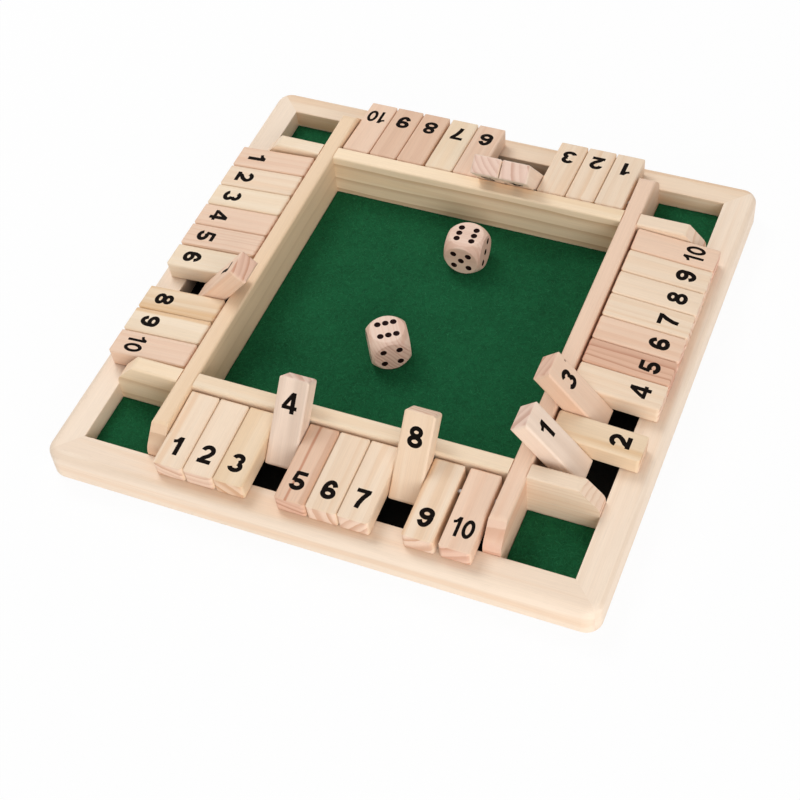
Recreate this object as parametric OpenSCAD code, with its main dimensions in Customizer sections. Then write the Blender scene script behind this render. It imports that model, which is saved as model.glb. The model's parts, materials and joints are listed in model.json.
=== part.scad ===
// Four-player shut the box game: a square wooden tray with a felt-lined play area,
// a row of ten numbered flip tiles on a steel rod along each side, and two dice.
// Origin: middle of the underside. +X to the right, +Y to the back, +Z up.
// The front row faces the reader; the other rows are its quarter turns.

/* [Tiles] */
// Number of tiles in each row
tiles_per_row = 10; // [8:1:10]
// Width of a tile, along its rod
tile_w = 12.4; // [10:0.1:16]
// Length of a tile
tile_l = 35.1; // [30:0.1:42]
// Thickness of a tile
tile_t = 8.1; // [6:0.1:9]
// Rounding of a tile's long edges and ends
tile_edge_r = 0.9; // [0.4:0.1:1.5]
// Rounding of a tile's inner end, which turns past the rail
tile_heel_r = 1.2; // [0.6:0.1:2]
// Corner radius of a tile's finger end, seen from above
tile_tip_r = 1.6; // [1:0.1:4]
// Corner radius of a tile's inner end, seen from above
tile_back_r = 1.6; // [0.6:0.1:3]
// Slope of a tile that lies down, from its inner end to its finger end
tile_slope = 4.2; // [2:0.5:8]
// Smallest gap between the tiles of a row
tile_gap = 0.25; // [0.2:0.05:0.6]
// Sideways play of a whole row
row_play = 3.55; // [2.5:0.05:6]
// How far the tiles lap over the frame
tile_lap = 8.0; // [4:0.1:9]

/* [Rods] */
// Diameter of the steel hinge rods
rod_d = 2.0; // [1.5:0.1:3]
// Distance from the rail's tile side to the rod's axis
rod_from_rail = 9.8; // [6.5:0.1:10]
// Depth of the blind holes that hold the rods
rod_socket = 4; // [2:0.5:5]

/* [Rails] */
// Thickness of the rails and end walls
rail_t = 7.0; // [6:0.1:10]
// Height of the rails above the frame
rail_up = 11.9; // [10:0.1:16]
// Rounding along the rails' top edges
rail_edge_r = 1; // [0.5:0.1:2]
// Length of the sloping ends
bevel_run = 8; // [4:0.5:12]
// Fall of the sloping ends
bevel_drop = 8.6; // [4:0.1:11]
// Rounding at the foot of the slope
bevel_toe_r = 6; // [2:0.5:8]
// Rounding at the head of the slope
bevel_head_r = 3; // [1:0.5:5]

/* [Frame] */
// Width of the frame's rim
rim_w = 12.4; // [10:0.1:18]
// Height of the frame
frame_h = 14.6; // [13:0.1:20]
// Depth of the felt's surface below the frame's top
well_depth = 7.7; // [5:0.1:9]
// Outer corner radius of the frame, seen from above
corner_r = 6.5; // [4:0.5:8]
// Rounding along the frame's top outer edge
rim_edge_r = 3.2; // [1:0.1:4]
// Rounding along the frame's lower outer edge
rim_foot_r = 1.6; // [0.3:0.1:1.9]
// Easing of the frame's top inner edge
rim_lip_r = 0.4; // [0.2:0.1:1]
// Width of the rabbet that holds the base board
rabbet_w = 4; // [2:0.5:6]

/* [Base and felt] */
// Thickness of the base board
board_t = 3; // [2:0.1:4]
// Thickness of the felt
felt_t = 1; // [0.5:0.1:2]

/* [Dice] */
// Width of a die
die_w = 16; // [12:0.5:20]
// Diameter of the ball that rounds a die's corners
die_ball_d = 21.4; // [16:0.1:30]
// Diameter of a pip
pip_d = 2.4; // [1.5:0.1:3]
// Depth of a pip
pip_depth = 0.4; // [0.2:0.1:0.8]
// Distance of the outer pips from the middle of a face
pip_step = 3.25; // [2.5:0.05:4]

/* [Hidden] */
$fn = 64;

// Running clearances and glue gaps
bore_fit = 0.06;       // tile bore round the rod, on the radius
socket_fit = 0.03;     // rod in its blind holes, on the radius
socket_end_gap = 0.3;  // rod's end to the bottom of the hole
heel_fit = 0.25;       // turning inner end of a tile to the rail
stop_fit = 0.15;       // tile to what it leans or lies on
board_fit = 0.15;      // base board in the frame's rabbet
felt_fit = 0.2;        // felt all round, inside its walls
cut = 1;               // overshoot of cutting shapes

// Heights
board_top = frame_h - well_depth - felt_t;
board_low = board_top - board_t;
felt_top = board_top + felt_t;
rail_top = frame_h + rail_up;

// A tile's reach on both sides of its rod: the inner end just clears the rail when it turns
heel_turn = rod_from_rail - heel_fit - tile_heel_r;
heel = tile_heel_r + sqrt(pow(heel_turn, 2) - pow(tile_t / 2 - tile_heel_r, 2));
reach = tile_l - heel;
reach_flat = reach * cos(tile_slope) + tile_t / 2 * sin(tile_slope);
tip_drop = (reach - tile_edge_r) * sin(tile_slope)
    + (tile_t / 2 - tile_edge_r) * cos(tile_slope) + tile_edge_r;
rod_z = frame_h + stop_fit + tip_drop;

// Plan sizes, from the middle outwards
play_w = tiles_per_row * tile_w + (tiles_per_row - 1) * tile_gap + row_play;
rail_in = play_w / 2;
rail_out = rail_in + rail_t;
rod_at = rail_out + rod_from_rail;
inner_half = rod_at + reach_flat - tile_lap;
bay_w = inner_half - rail_out;
arc_at = inner_half + rim_w - corner_r;

// Less than half the corner's radius, so that the turned corner stays an open ring
rim_round = min(rim_edge_r, 0.49 * corner_r);

// A raised tile leans on the rounded top edge of the rail
edge_in = rod_from_rail + rail_edge_r;
edge_up = rail_top - rail_edge_r - rod_z;
lean = atan2(edge_up, edge_in)
    + asin((tile_t / 2 + stop_fit + rail_edge_r) / norm([edge_in, edge_up]));

// Rows, each a quarter turn on from the one before
ROWS = ["front", "right", "back", "left"];
FRONT = 0;
RIGHT = 1;
BACK = 2;
LEFT = 3;
// Tiles that stand raised
RAISED = [[4, 8], [1, 3], [4, 5], [7]];
// How a row's play is shared: before tile 1, spread between the tiles,
// and at the place where the row has opened
PLAY_START = [0.10, 0.90, 0.45, 0.39];
PLAY_SPREAD = [0, 0, 0.15, 0.1];
PLAY_OPEN = [0.45, 0, 0.2, 0.1];
OPENS_AFTER = [9, 9, 7, 5];

// Dice: where each one lies, and its turn
die_a_at = [-5.5, -18];
die_a_turn = 123.3;
die_b_at = [6, 41.5];
die_b_turn = 0.6;

// Colours
pine = [0.91, 0.80, 0.68];
pine_rail = [0.93, 0.82, 0.70];
pine_tile = [0.92, 0.80, 0.69];
baize = [0.09, 0.31, 0.18];
black_felt = [0.06, 0.06, 0.05];
steel = [0.72, 0.72, 0.73];
plywood = [0.80, 0.68, 0.52];
maple = [0.91, 0.76, 0.67];

function tile_name(row, n) = str(ROWS[row], "_tile_", n);

// ---------- outlines ----------

function unit(v) = v / norm(v);

// What a round corner of radius r takes off at point p, between the edges to a and b
module corner_waste(p, a, b, r) {
    u = unit(a - p);
    v = unit(b - p);
    half = acos(u * v) / 2;
    to_centre = unit(u + v);
    centre = p + to_centre * r / sin(half);
    difference() {
        polygon([p - to_centre * cut, p + u * r / tan(half), centre, p + v * r / tan(half)]);
        translate(centre) circle(r);
    }
}

// Outline with its own corner radius at each point, 0 for a sharp corner
module rounded_outline(points, radii) {
    last = len(points) - 1;
    difference() {
        polygon(points);
        for (i = [0:last])
            if (radii[i] > 0)
                corner_waste(points[i], points[i == 0 ? last : i - 1],
                    points[i == last ? 0 : i + 1], radii[i]);
    }
}

// Rectangle with a radius for its low-left, low-right, high-right and high-left corners
module rounded_rect(low, high, radii) {
    rounded_outline([low, [high.x, low.y], high, [low.x, high.y]], radii);
}

// Stands an outline up: its x runs along X and its y along Z, depth w about Y = 0
module upright(w) {
    rotate([90, 0, 0]) linear_extrude(w, center = true) children();
}

// Stands an outline up across X: its x runs along Y and its y along Z
module crosswise(from, to) {
    translate([from, 0, 0]) rotate([90, 0, 90]) linear_extrude(to - from) children();
}

// ---------- frame ----------

// Section of the rim: x outwards from the inner face, y up
module rim_section() {
    difference() {
        rounded_rect([0, 0], [rim_w, frame_h], [0, rim_foot_r, rim_round, rim_lip_r]);
        translate([-cut, -cut]) square([rabbet_w + cut, board_top + cut]);
    }
}

// The front side's half of the rounded front right corner
module rim_corner() {
    translate([arc_at, -arc_at, 0]) rotate([0, 0, -90]) rotate_extrude(angle = 45)
        intersection() {
            translate([corner_r - rim_w, 0]) rim_section();
            square([corner_r + cut, frame_h + cut]);
        }
}

// One mitred side of the frame, turned to its row
module frame_side(row) {
    far = arc_at + rim_w;
    color(pine) rotate([0, 0, 90 * row]) {
        intersection() {
            translate([0, -inner_half, 0]) mirror([0, 1, 0])
                crosswise(-arc_at, arc_at) rim_section();
            linear_extrude(frame_h + cut) polygon([[0, 0], [far, -far], [-far, -far]]);
        }
        rim_corner();
        mirror([1, 0, 0]) rim_corner();
    }
}

// Board that carries the rails and the felt, let into the frame from below
module base_board() {
    w = 2 * (inner_half + rabbet_w - board_fit);
    color(plywood) translate([-w / 2, -w / 2, board_low]) cube([w, w, board_t]);
}

// ---------- felt ----------

// Sheet of felt on the base board, a little smaller than the space from low to high
module felt_sheet(low, high) {
    translate([low.x + felt_fit, low.y + felt_fit, board_top])
        cube([high.x - low.x - 2 * felt_fit, high.y - low.y - 2 * felt_fit, felt_t]);
}

module play_felt() {
    color(baize) felt_sheet([-rail_in, -rail_in], [rail_in, rail_in]);
}

module pocket_felts() {
    color(baize)
        for (row = [FRONT:LEFT])
            rotate([0, 0, 90 * row])
                felt_sheet([rail_out, -inner_half], [inner_half, -rail_out]);
}

module tray_liners() {
    color(black_felt)
        for (row = [FRONT:LEFT])
            rotate([0, 0, 90 * row])
                felt_sheet([-rail_in, -inner_half], [rail_in, -rail_out]);
}

// ---------- rails and end walls ----------

// Bar along X with rounded top edges, and a sloping end at "to" and, if asked, at "from"
module bar(from, to, slope_from, slope_to) {
    foot = rail_top - bevel_drop;
    head_from = [[from + bevel_run, rail_top], [from, foot]];
    head_to = [[to, foot], [to - bevel_run, rail_top]];
    outline = concat([[from, board_top], [to, board_top]],
        slope_to ? head_to : [[to, rail_top]],
        slope_from ? head_from : [[from, rail_top]]);
    radii = concat([0, 0],
        slope_to ? [bevel_toe_r, bevel_head_r] : [0],
        slope_from ? [bevel_head_r, bevel_toe_r] : [0]);
    intersection() {
        crosswise(from, to)
            rounded_rect([-rail_t / 2, board_top], [rail_t / 2, rail_top],
                [0, 0, rail_edge_r, rail_edge_r]);
        upright(rail_t + cut) rounded_outline(outline, radii);
    }
}

// Blind hole along X at the origin, to one side and the other
module rod_hole() {
    rotate([0, 90, 0])
        cylinder(h = 2 * rod_socket, r = rod_d / 2 + socket_fit, center = true);
}

// Long rail that runs from frame to frame and holds the ends of two rods
module long_rail(side) {
    color(pine_rail) difference() {
        translate([side * (rail_in + rail_t / 2), 0, 0])
            rotate([0, 0, 90]) bar(-inner_half, inner_half, true, true);
        for (end = [-1, 1])
            translate([side * rail_in, end * rod_at, rod_z]) rod_hole();
    }
}

// Short rail between the long ones
module short_rail(end) {
    color(pine_rail) translate([0, end * (rail_in + rail_t / 2), 0])
        bar(-rail_in, rail_in, false, false);
}

// Wall between a long rail and the frame, which closes a side row and holds its rod
module end_wall(side, end) {
    color(pine_rail) difference() {
        translate([0, end * (rail_in + rail_t / 2), 0]) mirror([side > 0 ? 0 : 1, 0, 0])
            bar(rail_out, inner_half, false, true);
        translate([side * rod_at, end * rail_in, rod_z]) rotate([0, 0, 90]) rod_hole();
    }
}

module hinge_rods() {
    length = play_w + 2 * (rod_socket - socket_end_gap);
    color(steel)
        for (row = [FRONT:LEFT])
            rotate([0, 0, 90 * row]) translate([0, -rod_at, rod_z]) rotate([0, 90, 0])
                cylinder(h = length, r = rod_d / 2, center = true);
}

// ---------- tiles ----------

// Middle of tile n of a row, along the row
function tile_at(row, n) =
    -rail_in + row_play * PLAY_START[row] + (n - 0.5) * tile_w
    + (n - 1) * (tile_gap + row_play * PLAY_SPREAD[row] / (tiles_per_row - 1))
    + (n > OPENS_AFTER[row] ? row_play * PLAY_OPEN[row] : 0);

function is_raised(row, n) = len([for (k = RAISED[row]) if (k == n) k]) > 0;

// Tile about its rod: the rod lies along X at the origin and the finger end towards -Y
module tile_block() {
    heel_r = [tile_edge_r, tile_heel_r, tile_heel_r, tile_edge_r];
    end_r = [tile_tip_r, tile_tip_r, tile_back_r, tile_back_r];
    long_r = [tile_edge_r, tile_edge_r, tile_edge_r, tile_edge_r];
    difference() {
        intersection() {
            crosswise(-tile_w / 2, tile_w / 2)
                rounded_rect([-reach, -tile_t / 2], [heel, tile_t / 2], heel_r);
            translate([0, 0, -tile_t / 2]) linear_extrude(tile_t)
                rounded_rect([-tile_w / 2, -reach], [tile_w / 2, heel], end_r);
            translate([0, (heel - reach) / 2, 0]) upright(tile_l)
                rounded_rect([-tile_w / 2, -tile_t / 2], [tile_w / 2, tile_t / 2], long_r);
        }
        rotate([0, 90, 0])
            cylinder(h = tile_w + cut, r = rod_d / 2 + bore_fit, center = true);
    }
}

module tile(row, n) {
    turn = is_raised(row, n) ? lean - 180 : tile_slope;
    color(pine_tile) rotate([0, 0, 90 * row])
        translate([tile_at(row, n), -rod_at, rod_z]) rotate([turn, 0, 0]) tile_block();
}

// ---------- dice ----------

// Pip places on a face, in steps from its middle
PIPS = [
    [[0, 0]],
    [[-1, 1], [1, -1]],
    [[-1, -1], [0, 0], [1, 1]],
    [[-1, -1], [-1, 1], [1, -1], [1, 1]],
    [[-1, -1], [-1, 1], [0, 0], [1, -1], [1, 1]],
    [[-1, -1], [-1, 0], [-1, 1], [1, -1], [1, 0], [1, 1]]
];
// Turns that bring the top face to where each number stands: 6 up, 5 front, 3 right
PIP_TURNS = [[180, 0, 0], [-90, 0, 0], [90, 0, 90], [90, 0, -90], [90, 0, 0], [0, 0, 0]];

// Dimples of the number on its face
module pips(number) {
    ball_r = (pow(pip_d / 2, 2) + pow(pip_depth, 2)) / (2 * pip_depth);
    rotate(PIP_TURNS[number - 1])
        for (place = PIPS[number - 1])
            translate([place.x * pip_step, place.y * pip_step, die_w / 2 - pip_depth + ball_r])
                sphere(ball_r);
}

module die(at, turn) {
    color(maple) translate([at.x, at.y, felt_top + die_w / 2]) rotate([0, 0, turn])
        difference() {
            intersection() {
                cube(die_w, center = true);
                sphere(d = die_ball_d);
            }
            for (number = [1:6]) pips(number);
        }
}

// ---------- nodes ----------

base_board();
play_felt();
pocket_felts();
tray_liners();
frame_side(FRONT);  // frame_front
frame_side(RIGHT);  // frame_right
frame_side(BACK);  // frame_back
frame_side(LEFT);  // frame_left
long_rail(-1);  // rail_left
long_rail(1);  // rail_right
short_rail(-1);  // rail_front
short_rail(1);  // rail_back
end_wall(-1, -1);  // end_wall_left_front
end_wall(-1, 1);  // end_wall_left_back
end_wall(1, -1);  // end_wall_right_front
end_wall(1, 1);  // end_wall_right_back
hinge_rods();
for (row = [FRONT:LEFT], n = [1:tiles_per_row])
    tile(row, n);
die(die_a_at, die_a_turn);  // die_a
die(die_b_at, die_b_turn);  // die_b
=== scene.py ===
"""Looks of the four-player shut the box game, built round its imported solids.

The solids give every piece its shape and place. This script gives each one its finish, prints the
numbers on the tiles, paints the dice's pips, raises the nap of the felt, and sets up the studio.
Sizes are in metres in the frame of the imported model, or in millimetres where it says so.
"""

from __future__ import annotations

import json
import logging
import math
import random
from dataclasses import dataclass, field
from enum import Enum

import bmesh
import bpy
import numpy as np
from bmesh.types import BMesh
from bpy.types import Material, Mesh, Node, NodeTree, Object
from bpy.types import NodeSocket as Socket
from mathutils import Euler, Matrix, Vector, noise

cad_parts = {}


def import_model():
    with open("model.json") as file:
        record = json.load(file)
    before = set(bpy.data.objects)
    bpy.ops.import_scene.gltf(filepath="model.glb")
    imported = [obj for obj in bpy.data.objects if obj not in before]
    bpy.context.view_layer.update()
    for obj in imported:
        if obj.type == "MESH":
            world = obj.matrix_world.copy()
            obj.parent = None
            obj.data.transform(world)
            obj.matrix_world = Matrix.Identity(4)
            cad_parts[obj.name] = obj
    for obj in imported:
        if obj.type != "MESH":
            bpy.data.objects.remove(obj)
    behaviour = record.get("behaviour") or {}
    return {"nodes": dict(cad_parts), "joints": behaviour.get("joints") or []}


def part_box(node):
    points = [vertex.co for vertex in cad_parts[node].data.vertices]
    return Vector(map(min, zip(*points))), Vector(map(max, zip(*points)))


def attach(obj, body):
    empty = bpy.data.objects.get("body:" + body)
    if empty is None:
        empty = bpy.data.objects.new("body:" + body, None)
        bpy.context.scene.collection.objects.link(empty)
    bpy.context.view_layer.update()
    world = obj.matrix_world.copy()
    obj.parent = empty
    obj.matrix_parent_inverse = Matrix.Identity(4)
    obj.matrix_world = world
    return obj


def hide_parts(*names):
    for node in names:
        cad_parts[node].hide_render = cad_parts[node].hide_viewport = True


LOG = logging.getLogger("shut_the_box")
MM = 0.001
TO_MM = (1 / MM,) * 3
ALONG_X, ALONG_Y, UP = (Vector(axis).freeze() for axis in ((1, 0, 0), (0, 1, 0), (0, 0, 1)))
WHITE = (1.0, 1.0, 1.0)
SEEDS = 10_000
SQUARE_WITHIN = 1.01
Pair = tuple[float, float]
Triple = tuple[float, float, float]
Colour = Triple


def srgb(red: int, green: int, blue: int) -> Colour:
    """Linear colour of an 8-bit screen colour."""
    def linear(value: int) -> float:
        """Linear value of one 8-bit channel."""
        part = value / 255
        return part / 12.92 if part <= 0.04045 else ((part + 0.055) / 1.055) ** 2.4
    return linear(red), linear(green), linear(blue)


# ---------- node trees ----------


@dataclass(frozen=True)
class Pattern:
    """A noise: its rate per millimetre, for all axes or each, its detail and its roughness."""

    rate: float | Triple
    detail: float = 2
    rough: float = 0.5


@dataclass(frozen=True)
class Graph:
    """A node tree that is built by plain calls."""

    tree: NodeTree

    SCALAR = ("LENGTH", "DOT_PRODUCT")

    def feed(self, node: Node, inputs: dict) -> Node:
        """Sets the inputs of a node.

        Args:
            node: The node.
            inputs: Socket name or index, with a constant or the socket that feeds it.

        Returns:
            The same node.
        """
        for key, value in inputs.items():
            socket = node.inputs[key]
            if isinstance(value, Socket):
                self.tree.links.new(value, socket)
            else:
                plain = socket.type == "RGBA" and len(value) == 3
                socket.default_value = (*value, 1) if plain else value
        return node

    def add(self, kind: str, inputs: dict | None = None, **settings) -> Node:
        """Adds a node, with its inputs and with settings for its properties."""
        node = self.tree.nodes.new(kind)
        for name, value in settings.items():
            setattr(node, name, value)
        return self.feed(node, inputs or {})

    def find(self, kind: str) -> Node:
        """The tree's own node of a type."""
        return next(node for node in self.tree.nodes if node.type == kind)

    def math(self, operation: str, *values) -> Socket:
        """Result of a Math node on one to three values."""
        node = self.add("ShaderNodeMath", dict(enumerate(values)), operation=operation)
        return node.outputs[0]

    def vector(self, operation: str, *values) -> Socket:
        """Result of a Vector Math node, which is a number for some operations."""
        node = self.add("ShaderNodeVectorMath", dict(enumerate(values)), operation=operation)
        return node.outputs[1 if operation in self.SCALAR else 0]

    def total(self, *parts: tuple) -> Socket:
        """Sum of values, each with its weight."""
        products = [self.math("MULTIPLY", value, weight) for value, weight in parts]
        result = products[0]
        for product in products[1:]:
            result = self.math("ADD", result, product)
        return result

    def step(self, value: Socket, low: float, high: float) -> Socket:
        """Smooth step of a value from 0 at low to 1 at high."""
        return self.add("ShaderNodeMapRange", {0: value, 1: low, 2: high},
                        interpolation_type="SMOOTHSTEP").outputs[0]

    def fade(self, value: Socket, low: float, high: float) -> Socket:
        """Smooth step of a value from 1 at low to 0 at high."""
        return self.math("SUBTRACT", 1.0, self.step(value, low, high))

    def mix(self, factor, first, second) -> Socket:
        """Mix of two colours by a factor."""
        return self.add("ShaderNodeMix", {0: factor, 6: first, 7: second}, data_type="RGBA",
                        clamp_factor=True).outputs[2]

    def shaded(self, colour, value: Socket) -> Socket:
        """A colour with each of its parts times one value."""
        grey = self.add("ShaderNodeCombineXYZ", {0: value, 1: value, 2: value}).outputs[0]
        return self.vector("MULTIPLY", colour, grey)

    def noise(self, point: Socket, pattern: Pattern, out: str = "Fac") -> Socket:
        """A pattern at a point that is given in millimetres."""
        rate = pattern.rate if isinstance(pattern.rate, tuple) else (pattern.rate,) * 3
        return self.add("ShaderNodeTexNoise", {
            "Vector": self.vector("MULTIPLY", point, rate), "Scale": 1.0,
            "Detail": pattern.detail, "Roughness": pattern.rough}).outputs[out]

    def bump(self, height: Socket, depth_mm: float, strength: float = 1.0) -> Socket:
        """Normal of a surface with fine relief."""
        return self.add("ShaderNodeBump", {"Strength": strength, "Distance": depth_mm * MM,
                                           "Height": height}).outputs[0]

    def surface(self, inputs: dict) -> None:
        """Sets the inputs of the material's shader."""
        self.feed(self.find("BSDF_PRINCIPLED"), inputs)


def new_material(name: str) -> tuple[Material, Graph]:
    """A new material and its graph."""
    material = bpy.data.materials.new(name)
    material.use_nodes = True
    return material, Graph(material.node_tree)


def add_sockets(tree: NodeTree, inputs: dict[str, tuple], outputs: dict[str, str]) -> None:
    """Gives a node group its sockets.

    Args:
        tree: The group's tree.
        inputs: Name to kind of socket, and a default value where it has one.
        outputs: Name to kind of socket.
    """
    for name, (kind, *default) in inputs.items():
        socket = tree.interface.new_socket(
            name=name, in_out="INPUT", socket_type=f"NodeSocket{kind}")
        for value in default:
            socket.default_value = value
    for name, kind in outputs.items():
        tree.interface.new_socket(name=name, in_out="OUTPUT", socket_type=f"NodeSocket{kind}")


# ---------- wood ----------


@dataclass(frozen=True)
class GrainFrame:
    """Where a board was cut: its own middle, the way its grain runs, and its face."""

    origin: Vector
    along: Vector
    face: Vector = UP

    def rotation(self) -> Euler:
        """Turn of a frame whose X is the grain and whose Z is the face."""
        along = self.along.normalized()
        side = self.face.cross(along).normalized()
        up = along.cross(side)
        return Matrix((along, side, up)).transposed().to_euler()


class WoodTone(Enum):
    """Colours of the boards in the stack: earlywood, latewood and streak."""

    IVORY = (srgb(244, 223, 196), srgb(231, 200, 160), srgb(226, 184, 136))
    CREAM = (srgb(241, 217, 191), srgb(227, 190, 153), srgb(229, 186, 144))
    STRAW = (srgb(237, 211, 179), srgb(225, 187, 140), srgb(222, 176, 122))
    PEACH = (srgb(238, 205, 179), srgb(224, 178, 145), srgb(225, 169, 132))
    TAN = (srgb(229, 192, 164), srgb(208, 161, 130), srgb(196, 136, 104))
    ROSE = (srgb(226, 183, 155), srgb(190, 134, 106), srgb(178, 116, 92))
    PALE = (srgb(243, 219, 199), srgb(230, 198, 173), srgb(214, 189, 169))
    BONE = (srgb(246, 225, 203), srgb(233, 205, 178), srgb(237, 203, 170))
    HONEY = (srgb(248, 223, 190), srgb(206, 168, 126), srgb(234, 198, 154))
    FLAXEN = (srgb(239, 209, 175), srgb(206, 170, 132), srgb(230, 192, 150))
    MAPLE = (srgb(238, 208, 189), srgb(220, 178, 154), srgb(208, 160, 136))
    PLY = (srgb(214, 182, 138), srgb(184, 142, 98), srgb(190, 150, 100))



class PineGroup:
    """The solid wood pattern that all wooden pieces share, as one node group.

    Its X runs along the grain and its Z out of the board's face. Sizes are in millimetres.
    """

    NAME = "solid_wood"
    INPUTS = {
        "Vector": ("Vector", "Pith", "Seed", "Knot At"),
        "Float": ("End", "Ring", "Contrast", "Streaks", "Sharp", "Line", "Line At",
                  "Line Width", "Knot"),
        "Color": ("Early", "Late", "Streak"),
    }
    OUTPUTS = {"Color": "Color", "Roughness": "Float", "Height": "Float"}

    # how far the trunk wanders slowly and wobbles a little along its length
    BENDS = ((Pattern((0.010, 0.035, 0.035)), 4.0), (Pattern((0.06, 0.35, 0.35)), 0.6))
    HALF = (0.5, 0.5, 0.5)
    ACROSS = (0, 1, 1)

    # how uneven the rings are, where latewood starts and stops, and how strong it is
    UNEVEN, UNEVEN_AT, UNEVEN_RINGS = Pattern((0.31, 1, 1)), 3.7, 2.4
    LATE_START, LATE_STOP = (0.25, 0.90), (0.93, 1.0)
    LATE_STRENGTH = (0.65, 0.35)

    FIBRE, FIBRE_SHADE = Pattern((0.05, 3.2, 3.2), 3, 0.6), (0.22, 0.89)
    TONE, TONE_SHADE = Pattern((0.008, 0.09, 0.09), 1), (0.14, 0.93)
    FLECK, FLECK_STEP, FLECK_DARK = Pattern((0.22, 6.0, 6.0), 1), (0.66, 0.78), 0.09
    STREAK, STREAK_STEP = Pattern((0.006, 0.17, 0.17), 1), (0.52, 0.66)
    PORES, PORE_SHADE = Pattern((0.2, 5.5, 5.5), 2, 0.7), (0.30, 0.84)
    END_LATE, END_TINT = (0.86, 0.78, 0.77), (0.97, 0.90, 0.92)
    ROUGH, END_ROUGH = (0.16, 0.42), 0.2
    FIBRE_HEIGHT, LATE_HEIGHT, FLECK_HEIGHT = 0.7, 0.25, -0.5

    LINE_EDGE = (0.25, 1.0)
    KNOT_SHAPE, KNOT_EDGE = (0.6, 1.0, 0.0), (0.35, 0.85)
    RAGGED, RAGGED_REACH = Pattern(1.6, 1), 0.5
    KNOT_BROWN = srgb(120, 74, 52)

    @classmethod
    def get(cls) -> NodeTree:
        """The group, which is built at its first use."""
        return bpy.data.node_groups.get(cls.NAME) or cls.build()

    @classmethod
    def build(cls) -> NodeTree:
        """Builds the group: growth rings round a pith, fibres, flecks, streaks and end grain.

        Returns:
            The node group.
        """
        tree = bpy.data.node_groups.new(cls.NAME, "ShaderNodeTree")
        add_sockets(tree, {name: (kind,) for kind, names in cls.INPUTS.items() for name in names},
                    cls.OUTPUTS)
        graph = Graph(tree)
        given = graph.add("NodeGroupInput").outputs
        board = graph.vector("MULTIPLY", given["Vector"], TO_MM)
        point = graph.vector("ADD", board, given["Seed"])
        bends = [graph.vector("MULTIPLY", graph.vector(
            "SUBTRACT", graph.noise(point, pattern, "Color"), cls.HALF), (0, reach, reach))
            for pattern, reach in cls.BENDS]
        local = graph.vector("ADD", board, graph.vector("ADD", *bends))
        late = cls.latewood(graph, given, local)
        fibre = graph.noise(point, cls.FIBRE)
        fleck = graph.step(graph.noise(point, cls.FLECK), *cls.FLECK_STEP)
        streak = graph.step(graph.noise(point, cls.STREAK), *cls.STREAK_STEP)

        colour = given["Early"]
        for strength, tint in (
                (graph.math("MULTIPLY", late, given["Contrast"]), given["Late"]),
                (graph.math("MULTIPLY", streak, given["Streaks"]), given["Streak"]),
                (cls.line(graph, given, local), given["Streak"]),
                (cls.knot(graph, given, board, point), cls.KNOT_BROWN)):
            colour = graph.mix(strength, colour, tint)
        shade = graph.math("MULTIPLY", *(
            graph.math("MULTIPLY_ADD", value, *slope_and_base) for value, slope_and_base in (
                (fibre, cls.FIBRE_SHADE), (graph.noise(point, cls.TONE), cls.TONE_SHADE))))
        shade = graph.total((shade, 1.0), (fleck, -cls.FLECK_DARK))

        # end grain: rings as arcs, fine open pores, a darker and pinker tint
        end = graph.mix(late, given["Early"], graph.vector("MULTIPLY", given["Late"], cls.END_LATE))
        pores = graph.math("MULTIPLY_ADD", graph.noise(point, cls.PORES), *cls.PORE_SHADE)
        end = graph.shaded(graph.vector("MULTIPLY", end, cls.END_TINT), pores)
        graph.add("NodeGroupOutput", {
            "Color": graph.mix(given["End"], graph.shaded(colour, shade), end),
            "Roughness": graph.total((graph.math("MULTIPLY_ADD", fibre, *cls.ROUGH), 1.0),
                                     (given["End"], cls.END_ROUGH)),
            "Height": graph.total((fibre, cls.FIBRE_HEIGHT), (late, cls.LATE_HEIGHT),
                                  (fleck, cls.FLECK_HEIGHT))})
        return tree

    @classmethod
    def latewood(cls, graph: Graph, given, local: Socket) -> Socket:
        """Share of latewood in the growth rings, each ring with its own strength."""
        across = graph.vector("MULTIPLY", graph.vector("SUBTRACT", local, given["Pith"]),
                              cls.ACROSS)
        rings = graph.math("DIVIDE", graph.vector("LENGTH", across), given["Ring"])
        uneven = graph.noise(graph.add("ShaderNodeCombineXYZ", {
            0: rings, 1: cls.UNEVEN_AT}).outputs[0], cls.UNEVEN)
        rings = graph.total((rings, 1.0), (uneven, cls.UNEVEN_RINGS))
        place = graph.math("FRACT", rings)
        late = graph.math("MULTIPLY", graph.step(place, *cls.LATE_START),
                          graph.fade(place, *cls.LATE_STOP))
        strength = graph.add("ShaderNodeTexWhiteNoise", {
            "W": graph.math("FLOOR", rings)}, noise_dimensions="1D").outputs["Value"]
        return graph.math("MULTIPLY", graph.math("POWER", late, given["Sharp"]),
                          graph.math("MULTIPLY_ADD", strength, *cls.LATE_STRENGTH))

    @classmethod
    def line(cls, graph: Graph, given, local: Socket) -> Socket:
        """Strength of one long dark line of grain, at a chosen place across the board."""
        across = graph.add("ShaderNodeSeparateXYZ", {0: local}).outputs[1]
        off = graph.math("ABSOLUTE", graph.math("SUBTRACT", across, given["Line At"]))
        off = graph.math("DIVIDE", off, given["Line Width"])
        return graph.math("MULTIPLY", graph.fade(off, *cls.LINE_EDGE), given["Line"])

    @classmethod
    def knot(cls, graph: Graph, given, board: Socket, point: Socket) -> Socket:
        """Strength of one small knot, a dark speck with a ragged edge."""
        place = graph.vector("MULTIPLY", graph.vector("SUBTRACT", board, given["Knot At"]),
                             cls.KNOT_SHAPE)
        off = graph.total((graph.vector("LENGTH", place), 1.0),
                          (graph.noise(point, cls.RAGGED), cls.RAGGED_REACH))
        return graph.math("MULTIPLY", graph.fade(off, *cls.KNOT_EDGE), given["Knot"])


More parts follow.
